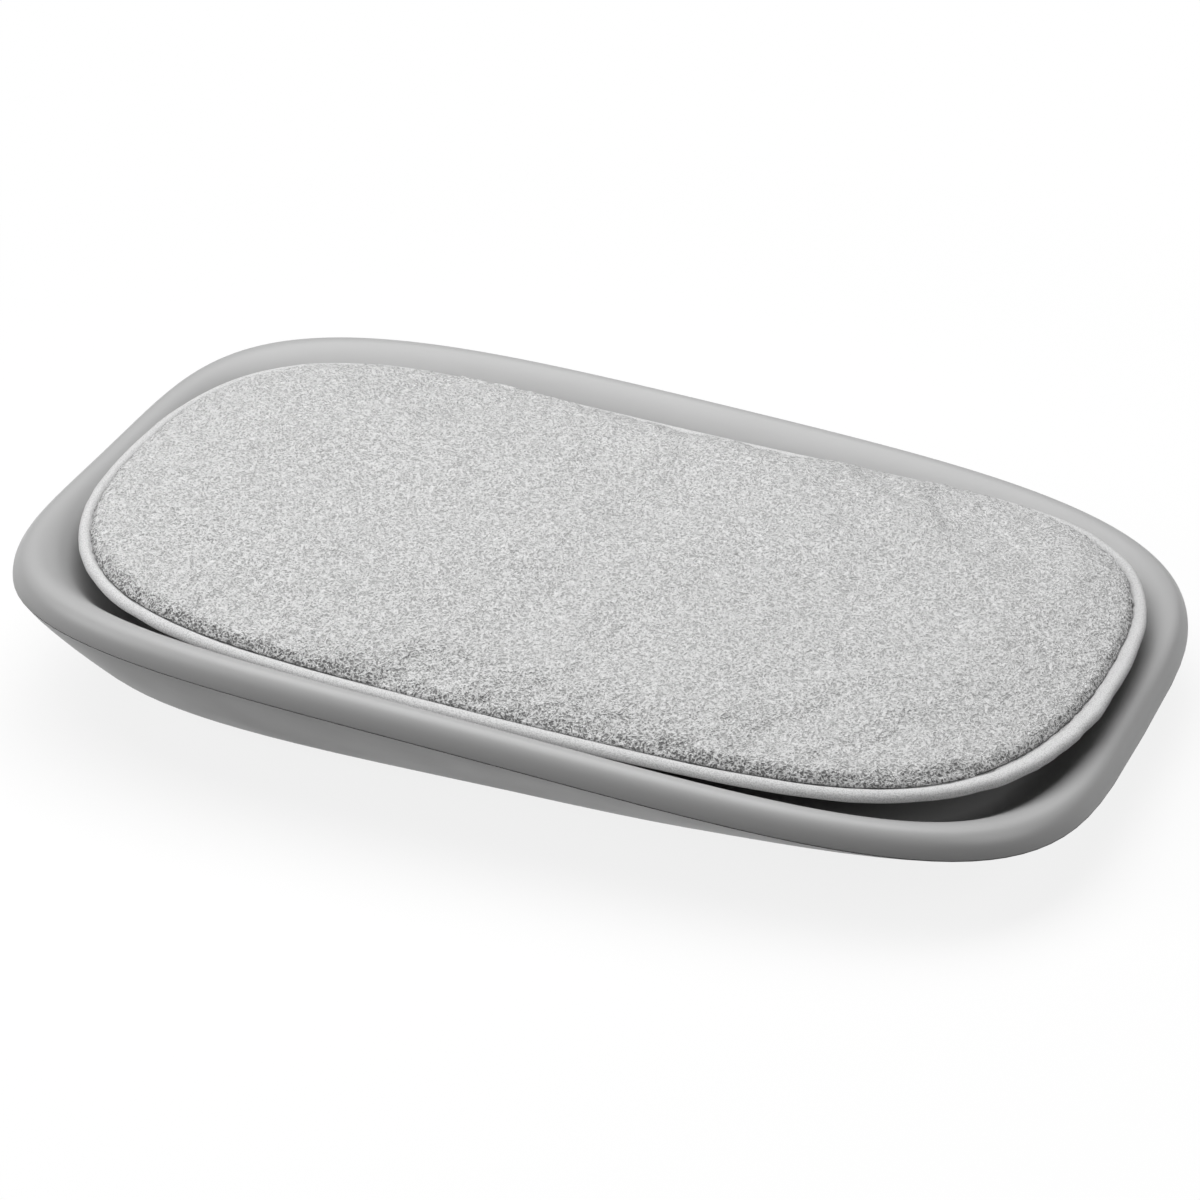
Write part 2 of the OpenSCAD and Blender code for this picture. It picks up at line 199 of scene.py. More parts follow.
def under_lift(share):
    """How far the underside has come up from the dish to the piping, 0 to 1."""
    return (np.clip(share - FLAT_SHARE, 0, 1) / (1 - FLAT_SHARE)) ** TUCK_POWER


# ---- noise that is the same on every run ----

HASH_SEED, HASH_KEY, HASH_MIX = 7919, 73856093, 1274126177
HASH_AXIS, HASH_AXIS_STEP = 19349663, 62
HASH_MASK, HASH_HALF = 0x7FFFFFFF, 0x3FFFFFFF


def lattice_noise(points, cell, seed):
    """Smooth value noise from -1 to 1 over points of any dimension, with the given cell size."""
    p = np.asarray(points, float) / cell
    base = np.floor(p).astype(np.int64)
    f = p - base
    f = f * f * (3 - 2 * f)
    dims = p.shape[-1]
    total = np.zeros(p.shape[:-1])
    for corner in range(2 ** dims):
        bits = [(corner >> d) & 1 for d in range(dims)]
        key = np.full(p.shape[:-1], seed * HASH_SEED + 1, np.int64)
        weight = np.ones(p.shape[:-1])
        for d, bit in enumerate(bits):
            lattice = (base[..., d] + bit) * (HASH_AXIS + HASH_AXIS_STEP * d)
            key = (key * HASH_KEY) ^ lattice
            weight = weight * (f[..., d] if bit else 1 - f[..., d])
        key = ((key ^ (key >> 13)) * HASH_MIX) & HASH_MASK
        total += weight * (key / HASH_HALF - 1)
    return total


# ---- meshes ----

def new_piece(name, points, faces, material, body):
    """A smooth-shaded piece with its finish and the body it rides on."""
    mesh = bpy.data.meshes.new(name)
    mesh.from_pydata([tuple(p) for p in np.asarray(points).reshape(-1, 3)], [], faces)
    mesh.validate()
    mesh.polygons.foreach_set("use_smooth", [True] * len(mesh.polygons))
    mesh.materials.append(material)
    piece = bpy.data.objects.new(name, mesh)
    bpy.context.scene.collection.objects.link(piece)
    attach(piece, body)
    return piece


def ring_faces(rings, stations, closed_along=False):
    """Quads between successive rings of the same number of points."""
    faces = []
    for r in range(rings if closed_along else rings - 1):
        a, b = r * stations, ((r + 1) % rings) * stations
        for k in range(stations):
            n = (k + 1) % stations
            faces.append((a + k, a + n, b + n, b + k))
    return faces


def lofted(name, rings, material, body, hoop=False):
    """A closed solid through rings, with a fan over each end, or a hoop that closes on itself.

    The faces follow the rings' order. In the orders used here they point into the solid.
    """
    rings = np.asarray(rings)
    count, stations = rings.shape[:2]
    points = rings.reshape(-1, 3)
    faces = ring_faces(count, stations, closed_along=hoop)
    if not hoop:
        ends = np.stack([(r.min(0) + r.max(0)) / 2 for r in (rings[0], rings[-1])])
        points = np.concatenate([points, ends])
        top, bottom, last = count * stations, count * stations + 1, (count - 1) * stations
        for k in range(stations):
            n = (k + 1) % stations
            faces.append((top, n, k))
            faces.append((bottom, last + k, last + n))
    return new_piece(name, points, faces, material, body)


# ---- shader helpers ----

def group_tree(name, inputs, outputs):
    """An empty node group with named sockets, and its input and output nodes."""
    tree = bpy.data.node_groups.new(name, "ShaderNodeTree")
    for label, kind, value in inputs:
        socket = tree.interface.new_socket(label, in_out="INPUT", socket_type=kind)
        if value is not None:
            socket.default_value = value
    for label, kind in outputs:
        tree.interface.new_socket(label, in_out="OUTPUT", socket_type=kind)
    return tree, tree.nodes.new("NodeGroupInput"), tree.nodes.new("NodeGroupOutput")


def supply(tree, socket, value):
    """Gives a socket its value: a link from another socket, or a constant."""
    if isinstance(value, bpy.types.NodeSocket):
        tree.links.new(value, socket)
    else:
        socket.default_value = value


def node(tree, kind, settings=None, **inputs):
    """A new node. Its inputs are given by label, or by place as i0, i1 and so on."""
    made = tree.nodes.new(kind)
    for key, value in (settings or {}).items():
        setattr(made, key, value)
    for key, value in inputs.items():
        by_place = key[0] == "i" and key[1:].isdigit()
        supply(tree, made.inputs[int(key[1:]) if by_place else key.replace("_", " ")], value)
    return made


def maths(tree, operation, a, b=0.0, clamp=False):
    """One arithmetic step between two sockets or numbers."""
    made = node(tree, "ShaderNodeMath", {"operation": operation, "use_clamp": clamp}, i0=a, i1=b)
    return made.outputs[0]


def remap(tree, value, low, high, to_low=0.0, to_high=1.0):
    """A value moved from one range to another, and kept inside it."""
    made = node(tree, "ShaderNodeMapRange", None, Value=value, From_Min=low, From_Max=high,
                To_Min=to_low, To_Max=to_high)
    return made.outputs[0]


def mix_colour(tree, factor, a, b):
    """Colour a where the factor is 0, colour b where it is 1."""
    made = node(tree, "ShaderNodeMix", {"data_type": "RGBA"}, i0=factor, i6=a, i7=b)
    return made.outputs[2]


def grey(value, warm=0.0):
    """A grey, or one a little warmer."""
    return (value * (1 + warm), value, value * (1 - warm), 1.0)


def noise(tree, vector, scale, detail=2.0, rough=0.5):
    """The value of a noise texture, about 0.5."""
    return node(tree, "ShaderNodeTexNoise", None, Vector=vector, Scale=scale, Detail=detail,
                Roughness=rough).outputs[0]


def new_material(name, **constants):
    """A material with constants set on its shader, and the object's own coordinates."""
    material = bpy.data.materials.new(name)
    material.use_nodes = True
    tree = material.node_tree
    shader = tree.nodes["Principled BSDF"]
    for key, value in constants.items():
        shader.inputs[key.replace("_", " ")].default_value = value
    place = tree.nodes.new("ShaderNodeTexCoord").outputs["Object"]
    return material, tree, shader, place


def feed(tree, shader, socket, value):
    """Drives a socket of the shader."""
    tree.links.new(value, shader.inputs[socket])


def bump(tree, shader, height, distance, strength):
    """Drives the shader's normal by a height."""
    made = node(tree, "ShaderNodeBump", None, Strength=strength, Distance=distance, Height=height)
    tree.links.new(made.outputs[0], shader.inputs["Normal"])


# ---- effects that several materials share ----

def build_mottle():
    """Slow colour variation: the base colour, a little lighter and darker in soft patches."""
    tree, given, out = group_tree(
        "mottle",
        [("Vector", "NodeSocketVector", None), ("Colour", "NodeSocketColor", grey(0.5)),
         ("Patch size", "NodeSocketFloat", 0.03), ("Amount", "NodeSocketFloat", 0.06)],
        [("Colour", "NodeSocketColor")])
    scale = maths(tree, "DIVIDE", 1.0, given.outputs["Patch size"])
    patches = noise(tree, given.outputs["Vector"], scale, detail=3.0, rough=0.55)
    about_zero = maths(tree, "SUBTRACT", patches, 0.5)
    offset = maths(tree, "MULTIPLY", about_zero, given.outputs["Amount"])
    gain = maths(tree, "ADD", 1.0, maths(tree, "MULTIPLY", offset, 2.0))
    tinted = node(tree, "ShaderNodeVectorMath", {"operation": "SCALE"},
                  i0=given.outputs["Colour"], Scale=gain)
    tree.links.new(tinted.outputs[0], out.inputs["Colour"])
    return tree


def build_knit():
    """Height of a fine jersey: columns of small stitches, softened by stray fibres, and a mask for
    painted shade in the gaps between the stitches.
    """
    tree, given, out = group_tree(
        "knit",
        [("Vector", "NodeSocketVector", None), ("Stitch", "NodeSocketFloat", 0.0006)],
        [("Height", "NodeSocketFloat"), ("Gap shade", "NodeSocketFloat")])
    scale = maths(tree, "DIVIDE", 1.0, given.outputs["Stitch"])
    cells = node(tree, "ShaderNodeTexVoronoi", {"feature": "SMOOTH_F1"},
                 Vector=given.outputs["Vector"], Scale=scale, Smoothness=0.4)
    fibre_scale = maths(tree, "MULTIPLY", scale, 2.3)
    fibres = noise(tree, given.outputs["Vector"], fibre_scale, detail=2.0, rough=0.6)
    height = maths(tree, "ADD", maths(tree, "SUBTRACT", 1.0, cells.outputs["Distance"]),
                   maths(tree, "MULTIPLY", fibres, 0.5))
    tree.links.new(height, out.inputs["Height"])
    # painted shade: a mask of the gaps between the stitches
    gap_shade = remap(tree, cells.outputs["Distance"], low=0.35, high=0.75)
    tree.links.new(gap_shade, out.inputs["Gap shade"])
    return tree


MOTTLE, KNIT = build_mottle(), build_knit()


def placed(tree, group, **inputs):
    """A shared effect placed in a material with its own values."""
    return node(tree, "ShaderNodeGroup", {"node_tree": group}, **inputs).outputs


# ---- finishes ----

LOOP_SCALE = 640                   # curls of the terry in a metre


def moulded_plastic(name, value):
    """Satin moulded plastic with a fine spark-eroded grain and faint rubbed patches."""
    material, tree, shader, place = new_material(name, Specular_IOR_Level=0.5)
    colour = placed(tree, MOTTLE, Vector=place, Colour=grey(value), Patch_size=0.09,
                    Amount=0.012)["Colour"]
    feed(tree, shader, "Base Color", colour)
    rubbed = noise(tree, place, scale=28, detail=4.0, rough=0.6)
    roughness = remap(tree, rubbed, low=0.3, high=0.75, to_low=0.36, to_high=0.44)
    feed(tree, shader, "Roughness", roughness)
    grain = noise(tree, place, scale=2600)
    bump(tree, shader, grain, distance=0.00002, strength=0.35)
    return material


def terry_cloth():
    """Short cotton loops that curl like little worms, pale on top, with painted shade in the gaps
    between them.
    """
    material, tree, shader, place = new_material(
        "terry", Roughness=0.95, Specular_IOR_Level=0.1, Sheen_Weight=0.15, Sheen_Roughness=0.6)
    bend = node(tree, "ShaderNodeTexNoise", None, Vector=place, Scale=300, Detail=1.0)
    shift = node(tree, "ShaderNodeVectorMath", {"operation": "SCALE"},
                 i0=bend.outputs["Color"], Scale=0.0016).outputs[0]
    bent = node(tree, "ShaderNodeVectorMath", {"operation": "ADD"},
                i0=place, i1=shift).outputs[0]
    paths = noise(tree, bent, LOOP_SCALE, detail=1.0)
    away = maths(tree, "ABSOLUTE", maths(tree, "SUBTRACT", paths, 0.5))
    curl = maths(tree, "SUBTRACT", 1.0, maths(tree, "MULTIPLY", away, 5.0), clamp=True)
    cells = node(tree, "ShaderNodeTexVoronoi", {"feature": "SMOOTH_F1"},
                 Vector=bent, Scale=LOOP_SCALE * 1.3, Smoothness=0.3)
    bead = maths(tree, "SUBTRACT", 1.0, cells.outputs["Distance"])
    yarn = noise(tree, bent, LOOP_SCALE * 4, detail=2.0, rough=0.6)
    curls = maths(tree, "MULTIPLY", curl, 0.6)
    beads = maths(tree, "MULTIPLY", bead, 0.5)
    height = maths(tree, "ADD", curls, beads)
    height = maths(tree, "ADD", height, maths(tree, "MULTIPLY", yarn, 0.2))
    facing = tree.nodes.new("ShaderNodeNewGeometry").outputs["Normal"]
    upward = node(tree, "ShaderNodeSeparateXYZ", None, i0=facing).outputs["Z"]
    # painted shade: the gaps between the loops are darkened more where the surface tilts away from
    # up, at the cushion's edges
    edge_tilt = remap(tree, upward, low=0.97, high=0.60)
    shade_height = maths(tree, "SUBTRACT", height, maths(tree, "MULTIPLY", edge_tilt, 0.08))
    edge_shade_gain = maths(tree, "ADD", 0.5, maths(tree, "MULTIPLY", edge_tilt, 0.4))
    # painted shade: the low points of the pile, the gaps between the loops, are darkened in the
    # colour
    deep = remap(tree, shade_height, low=0.42, high=0.80, to_low=1.0, to_high=0.0)
    gap_shade = maths(tree, "MULTIPLY", deep, edge_shade_gain)
    pale = placed(tree, MOTTLE, Vector=place, Colour=grey(0.80), Patch_size=0.03,
                  Amount=0.015)["Colour"]
    # painted shade in the gaps between the loops, down to a dark grey
    feed(tree, shader, "Base Color", mix_colour(tree, gap_shade, pale, grey(0.13)))
    bump(tree, shader, height, distance=0.0013, strength=0.9)
    return material


def jersey(name, value, gap_shade_value, stitch, depth):
    """Smooth knitted cloth with a fine stitch and painted shade between the stitches."""
    material, tree, shader, place = new_material(
        name, Roughness=0.85, Specular_IOR_Level=0.2, Sheen_Weight=0.3, Sheen_Roughness=0.4)
    knit = placed(tree, KNIT, Vector=place, Stitch=stitch)
    pale = placed(tree, MOTTLE, Vector=place, Colour=grey(value), Patch_size=0.012,
                  Amount=0.05)["Colour"]
    # painted shade: the gaps between the stitches are darkened to a darker grey
    feed(tree, shader, "Base Color", mix_colour(tree, knit["Gap shade"], pale, grey(gap_shade_value)))
    bump(tree, shader, knit["Height"], depth, strength=0.7)
    return material


def foot_rubber():
    """Black rubber with a little dust and a fine grain."""
    material, tree, shader, place = new_material(
        "foot_rubber", Roughness=0.75, Specular_IOR_Level=0.35)
    dust = remap(tree, noise(tree, place, scale=160, detail=4.0, rough=0.65), low=0.5, high=0.8)
    feed(tree, shader, "Base Color", mix_colour(tree, dust, grey(0.035), grey(0.09)))
    bump(tree, shader, noise(tree, place, scale=1500), distance=0.00005, strength=0.4)
    return material


def screw_steel():
    """Plain steel, a little uneven in colour and polish."""
    material, tree, shader, place = new_material("screw_steel", Metallic=1.0)
    streaks = noise(tree, place, scale=900, detail=3.0, rough=0.6)
    feed(tree, shader, "Base Color", mix_colour(tree, streaks, grey(0.5), grey(0.66)))
    roughness = remap(tree, streaks, low=0.3, high=0.8, to_low=0.28, to_high=0.5)
    feed(tree, shader, "Roughness", roughness)
    return material


def soft_foam():
    """Open-celled foam."""
    material, tree, shader, place = new_material("filling", Roughness=0.95, Specular_IOR_Level=0.1)
    cells = node(tree, "ShaderNodeTexVoronoi", None, Vector=place, Scale=900).outputs["Distance"]
    light, dark = grey(0.82, warm=0.04), grey(0.6, warm=0.06)
    feed(tree, shader, "Base Color", mix_colour(tree, cells, light, dark))
    bump(tree, shader, cells, distance=0.0004, strength=0.6)
    return material


def twisted_cotton():
    """Undyed cotton strands."""
    material, tree, shader, place = new_material(
        "cord_cotton", Roughness=0.9, Specular_IOR_Level=0.15)
    strands = noise(tree, place, scale=1400)
    dark, light = grey(0.62, warm=0.03), grey(0.84, warm=0.03)
    feed(tree, shader, "Base Color", mix_colour(tree, strands, dark, light))
    bump(tree, shader, strands, distance=0.0003, strength=0.6)
    return material


# ---- tray ----

TRAY_STATIONS = 480
RIM_RINGS, LIP_RINGS, SLOPE_RINGS = 16, 8, 26
DISH_SHARES = (0.25, 0.55, 0.8)
TRAY_SHARP = math.radians(60)
WELD_REACH = 0.00001


def tray_moulding(material):
    """The upper moulding: dish floor, slope and rolled rim, and the same again a wall below."""
    angles = even_angles(TRAY_NX, TRAY_NY, TRAY_HL, TRAY_HW, TRAY_STATIONS)
    unit = unit_outline(TRAY_NX, TRAY_NY, angles)
    edge = unit * (TRAY_HL, TRAY_HW)
    seam = seam_z(edge[:, 0], edge[:, 1])

    def at(inset, lift):
        """A ring at an inset from the edge, lifted off the joint line."""
        plan = unit * (TRAY_HL - inset, TRAY_HW - inset)
        return np.column_stack([plan, seam + lift])

    def slope(t, skin):
        """A ring from the crown of the rim, at 0, to the foot of the slope, at 1, under a skin."""
        plan = unit * (TRAY_HL - RIM_IN - SLOPE_W * t, TRAY_HW - RIM_IN - SLOPE_W * t)
        crown, dish = seam + RIM_H, dish_floor_z(plan[:, 0])
        steep = (crown - dish) * 6 * t * (1 - t) / SLOPE_W
        z = crown + (dish - crown) * ease(t) - skin * np.sqrt(1 + steep ** 2)
        return np.column_stack([plan, z])

    def floor(share, skin):
        """A ring of the flat floor, at a share of the way out."""
        ring = slope(1, skin)
        ring[:, :2] *= share
        ring[:, 2] = dish_floor_z(ring[:, 0]) - skin
        return ring

    rings = [floor(s, 0) for s in DISH_SHARES]
    rings += [slope(t, 0) for t in np.linspace(1, 0, SLOPE_RINGS)]
    lip = SEAM_GAP / 2
    for turn in np.linspace(math.pi / 2, 0, RIM_RINGS)[1:]:
        inset = RIM_IN * (1 - math.cos(turn))
        rings.append(at(inset, lip + (RIM_H - lip) * math.sin(turn)))
    for turn in np.linspace(0, math.pi / 2, LIP_RINGS)[:-1]:
        inset = WALL + (RIM_IN - WALL) * (1 - math.cos(turn))
        rings.append(at(inset, lip + (RIM_H - WALL - lip) * math.sin(turn)))
    rings += [slope(t, WALL) for t in np.linspace(0, 1, SLOPE_RINGS)]
    rings += [floor(s, WALL) for s in DISH_SHARES[::-1]]
    piece = lofted("tray_moulding", rings, material, "tray")
    piece.data.set_sharp_from_angle(angle=TRAY_SHARP)
    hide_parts("tray_top")


def refine_cad(name, material, sharp_degrees):
    """A CAD node that stays keeps its shape and gets welded points, soft shading and its finish."""
    piece = frame["nodes"][name]
    piece.data.materials.clear()
    piece.data.materials.append(material)
    tree = bpy.data.node_groups.new(name + "_shading", "GeometryNodeTree")
    tree.interface.new_socket("Geometry", in_out="INPUT", socket_type="NodeSocketGeometry")
    tree.interface.new_socket("Geometry", in_out="OUTPUT", socket_type="NodeSocketGeometry")
    given, out = tree.nodes.new("NodeGroupInput"), tree.nodes.new("NodeGroupOutput")
    weld = tree.nodes.new("GeometryNodeMergeByDistance")
    weld.inputs["Distance"].default_value = WELD_REACH
    angle = tree.nodes.new("GeometryNodeInputMeshEdgeAngle")
    sharp = tree.nodes.new("FunctionNodeCompare")
    sharp.data_type, sharp.operation = "FLOAT", "GREATER_THAN"
    sharp.inputs[1].default_value = math.radians(sharp_degrees)
    mark = tree.nodes.new("GeometryNodeStoreNamedAttribute")
    mark.data_type, mark.domain = "BOOLEAN", "EDGE"
    mark.inputs["Name"].default_value = "sharp_edge"
    smooth = tree.nodes.new("GeometryNodeSetShadeSmooth")
    tree.links.new(given.outputs[0], weld.inputs[0])
    tree.links.new(weld.outputs[0], smooth.inputs[0])
    tree.links.new(smooth.outputs[0], mark.inputs[0])
    tree.links.new(angle.outputs["Unsigned Angle"], sharp.inputs[0])
    tree.links.new(sharp.outputs[0], mark.inputs["Value"])
    tree.links.new(mark.outputs[0], out.inputs[0])
    custom = piece.data.attributes.get("custom_normal")
    if custom:
        piece.data.attributes.remove(custom)
    modifier = piece.modifiers.new("shading", "NODES")
    modifier.node_group = tree


# ---- cushion ----

COARSE_I, COARSE_J = 96, 56        # cells of the panels along and across, before they are refined
TERRY_REFINE, UNDER_REFINE = 4, 2
EDGE_TABLE, PROFILE_TABLE = 401, 4001
TERRY_REACH = 0.19                 # rough radius of the terry, which its cells are spaced by
PUCKER_DEPTH, PUCKER_REACH = 0.0007, 0.2
SETTLE_FRAMES = 20
SETTLE_CAP, SETTLE_PRESSURE, SETTLE_GROWTH = 0.004, 0.04, 0.004


def low_end_share(angles):
    """1 round the corner of the low end where the piping's cloth lies wide, fading to 0."""
    apart = np.abs((angles - WIDE_AT + math.pi) % (2 * math.pi) - math.pi)
    return np.exp(-((apart / WIDE_SPREAD) ** 2))


def grid_plan(inset, profile, tuck=0.0):
    """Plan points, shares and outline angles of a grid whose squares grow out to the piping.

    profile turns the square's size, 0 to 1, into a share of the way out, and tuck is how
    far the border draws in behind the wide stretch of the piping.
    """
    s = np.linspace(-1, 1, COARSE_I + 1)[:, None] * np.ones((1, COARSE_J + 1))
    t = np.ones((COARSE_I + 1, 1)) * np.linspace(-1, 1, COARSE_J + 1)[None, :]
    size = np.maximum(np.abs(s), np.abs(t))
    safe = np.where(size > 0, size, 1)
    right, left = (np.abs(s) >= np.abs(t)) & (s > 0), (np.abs(s) >= np.abs(t)) & (s < 0)
    top, bottom = (np.abs(t) > np.abs(s)) & (t > 0), (np.abs(t) > np.abs(s)) & (t < 0)
    angle = np.zeros_like(s)
    quarter = math.pi / 4
    for chosen, along, start in ((right, t / safe, -quarter), (top, -s / safe, quarter),
                                 (left, -t / safe, 3 * quarter), (bottom, s / safe, 5 * quarter)):
        table = even_angles(CUSHION_NX, CUSHION_NY, CUSHION_HL, CUSHION_HW, EDGE_TABLE,
                            start, start + 2 * quarter, closed=False)
        found = np.interp((along + 1) / 2, np.linspace(0, 1, EDGE_TABLE), table)
        angle = np.where(chosen, found, angle)
    share = profile(size)
    unit = unit_outline(CUSHION_NX, CUSHION_NY, angle)
    inset = inset + tuck * low_end_share(angle)
    x = CUSHION_X + (CUSHION_HL - inset) * share * unit[..., 0]
    y = (CUSHION_HW - inset) * share * unit[..., 1]
    return x, y, share, angle


def even_profile(height_of, radius):
    """Square size to share, so that cells are evenly long up the panel's curve."""
    shares = np.linspace(0, 1, PROFILE_TABLE)
    lengths = np.hypot(np.diff(shares * radius), np.diff(height_of(shares)))
    run = np.concatenate([[0], np.cumsum(lengths)])
    return lambda size: np.interp(size * run[-1], run, shares)


def refine_axis(grid, times):
    """Catmull-Rom points between the rows of a grid."""
    padded = np.concatenate([2 * grid[:1] - grid[1:2], grid, 2 * grid[-1:] - grid[-2:-1]])
    cells = len(grid) - 1
    p0, p1, p2, p3 = (padded[k:k + cells] for k in range(4))
    rows = []
    for k in range(times):
        t = k / times
        rows.append(0.5 * (2 * p1 + (p2 - p0) * t + (2 * p0 - 5 * p1 + 4 * p2 - p3) * t ** 2
                           + (3 * p1 - p0 - 3 * p2 + p3) * t ** 3))
    woven = np.stack(rows, 1).reshape(cells * times, *grid.shape[1:])
    return np.concatenate([woven, grid[-1:]])


def refined(grid, times):
    """A grid with times as many cells each way, through the same points."""
    along = refine_axis(grid, times)
    return refine_axis(along.swapaxes(0, 1), times).swapaxes(0, 1)


def grid_normals(grid):
    """Unit normals at the points of a grid, upward for a grid that runs along x, then y."""
    along, across = np.gradient(grid, axis=0), np.gradient(grid, axis=1)
    normals = np.cross(along, across)
    return normals / np.maximum(np.linalg.norm(normals, axis=-1, keepdims=True), 1e-12)


def rim_indices(rows, columns):
    """Indices round the border of a grid, anticlockwise."""
    index = np.arange(rows * columns).reshape(rows, columns)
    return np.concatenate([index[:-1, 0], index[-1, :-1], index[:0:-1, -1], index[0, :0:-1]])


def grid_faces(rows, columns, offset=0, flip=False):
    """Quads over a grid of points that starts at an offset."""
    index = np.arange(rows * columns).reshape(rows, columns) + offset
    corners = [index[:-1, :-1], index[1:, :-1], index[1:, 1:], index[:-1, 1:]]
    quads = np.stack(corners, -1).reshape(-1, 4)
    return (quads[:, ::-1] if flip else quads).tolist()


def shell_piece(name, outer, inner, material, flip):
    """A closed shell: a fine outer grid, a coarse inner one, and a hem that joins their borders."""
    rows, columns = outer.shape[:2]
    inner_rows, inner_columns = inner.shape[:2]
    offset = rows * columns
    faces = grid_faces(rows, columns, flip=flip)
    faces += grid_faces(inner_rows, inner_columns, offset, not flip)
    fine = rim_indices(rows, columns)
    coarse = rim_indices(inner_rows, inner_columns) + offset
    times = len(fine) // len(coarse)
    for k in range(len(coarse)):
        a, b = coarse[k], coarse[(k + 1) % len(coarse)]
        run = [fine[(k * times + i) % len(fine)] for i in range(times + 1)]
        middle = times // 2
        tris = [(a, run[i + 1], run[i]) for i in range(middle)] + [(a, b, run[middle])]
        tris += [(b, run[i + 1], run[i]) for i in range(middle, times)]
        faces += [tri[::-1] if flip else tri for tri in tris]
    points = np.concatenate([outer.reshape(-1, 3), inner.reshape(-1, 3)])
    faces = [tuple(int(v) for v in f) for f in faces]
    return new_piece(name, points, faces, material, "cushion")


def pucker(angle, share, depth, reach):
    """Small gathers that run in from the seam and fade."""
    edge = unit_outline(CUSHION_NX, CUSHION_NY, angle) * (CUSHION_HL, CUSHION_HW)
    folds = lattice_noise(edge, cell=0.016, seed=3) + 0.6 * lattice_noise(edge, cell=0.008, seed=4)
    fade = np.sin(np.clip((1 - share) / reach, 0, 1) * math.pi)
    return depth * folds * fade


def settle(grid, cap, pressure, growth):
    """Cloth simulation of a panel whose border is sewn down. Points move at most cap."""
    rows, columns = grid.shape[:2]
    mesh = bpy.data.meshes.new("settling")
    mesh.from_pydata([tuple(p) for p in grid.reshape(-1, 3)], [], grid_faces(rows, columns))
    panel = bpy.data.objects.new("settling", mesh)
    bpy.context.scene.collection.objects.link(panel)
    held = panel.vertex_groups.new(name="held")
    held.add([int(v) for v in rim_indices(rows, columns)], 1.0, "REPLACE")
    cloth = panel.modifiers.new("cloth", "CLOTH")
    settings = cloth.settings
    settings.quality = 6
    settings.mass = 0.25
    settings.tension_stiffness = settings.compression_stiffness = 12
    settings.shear_stiffness = 6
    settings.bending_stiffness = 0.4
    settings.use_pressure = True
    settings.uniform_pressure_force = pressure
    settings.vertex_group_mass = "held"
    settings.shrink_min = -growth
    settings.effector_weights.gravity = 0
    cloth.collision_settings.use_collision = False
    scene = bpy.context.scene
    for f in range(1, SETTLE_FRAMES + 1):
        scene.frame_set(f)
    depsgraph = bpy.context.evaluated_depsgraph_get()
    result = panel.evaluated_get(depsgraph)
    moved = np.array([v.co for v in result.data.vertices]).reshape(grid.shape)
    scene.frame_set(1)
    bpy.data.objects.remove(panel)
    step = moved - grid
    length = np.linalg.norm(step, axis=-1, keepdims=True)
    return grid + step * np.minimum(1, cap / np.maximum(length, 1e-9))


def top_panel(material):
    """The terry panel: crowned, gathered a little at the seam, with the lumps of its pile."""
    profile = even_profile(top_rise, TERRY_REACH)
    x, y, share, angle = grid_plan(PIPING_R, profile, tuck=WIDE_SHARE * PIPING_R)
    z = piping_z(x) + PANEL_LIFT + top_rise(share)
    plain = np.stack([x, y, z], -1)
    gathers = pucker(angle, share, PUCKER_DEPTH, PUCKER_REACH)
    coarse = plain + grid_normals(plain) * gathers[..., None]
    coarse[[0, -1]] = plain[[0, -1]]
    coarse[:, [0, -1]] = plain[:, [0, -1]]
    coarse = settle(coarse, SETTLE_CAP, SETTLE_PRESSURE, SETTLE_GROWTH)
    outer = refined(coarse, TERRY_REFINE)
    normals = grid_normals(outer)
    plan = outer[..., :2]
    lumps = 0.00030 * lattice_noise(plan, cell=0.009, seed=11)
    lumps += 0.00030 * lattice_noise(plan, cell=0.0042, seed=12)
    lumps += 0.00045 * lattice_noise(plan, cell=0.0022, seed=13)
    outer += normals * lumps[..., None]
    inner = coarse - grid_normals(coarse) * TERRY_T
    piece = shell_piece("terry_panel", outer, inner, material, flip=False)
    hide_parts("cover_top")


def under_panel(material):
    """The underside cloth: flat on the dish floor, then up to the piping."""
    x, y, share, _ = grid_plan(PIPING_R, lambda size: size)
    rest = dish_floor_z(x) + FLOOR_CLEAR
    edge = piping_z(x) - PANEL_LIFT
    clear = np.where(share > FLAT_SHARE, SLOPE_CLEAR, FLOOR_CLEAR)
    z = np.maximum(dish_z(x, y) + clear, rest + (edge - rest) * under_lift(share))
    coarse = np.stack([x, y, z], -1)
    outer = refined(coarse, UNDER_REFINE)
    fuzz = 0.00012 * lattice_noise(outer[..., :2], cell=0.003, seed=21)
    outer[..., 2] += np.abs(fuzz)
    inner = coarse + grid_normals(coarse) * CLOTH_T
    piece = shell_piece("under_panel", outer, inner, material, flip=True)
    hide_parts("cover_underside")


PIPING_STATIONS, PIPING_TURNS = 900, 26
CORD_STATIONS, CORD_TURNS = 360, 14
FOAM_STATIONS = 180
FOAM_SHARES = np.array([0.2, 0.5, 0.75, 0.88, 0.94, 0.98])


def outline_frame(stations):
    """Plan points and outward normals of the piping's centreline."""
    angles = even_angles(CUSHION_NX, CUSHION_NY, CUSHION_HL, CUSHION_HW, stations)
    unit = unit_outline(CUSHION_NX, CUSHION_NY, angles)
    plan = unit * (CUSHION_HL, CUSHION_HW) + (CUSHION_X, 0)
    along = np.roll(plan, -1, 0) - np.roll(plan, 1, 0)
    normal = np.stack([along[:, 1], -along[:, 0]], -1)
    return angles, plan, normal / np.linalg.norm(normal, axis=1, keepdims=True)


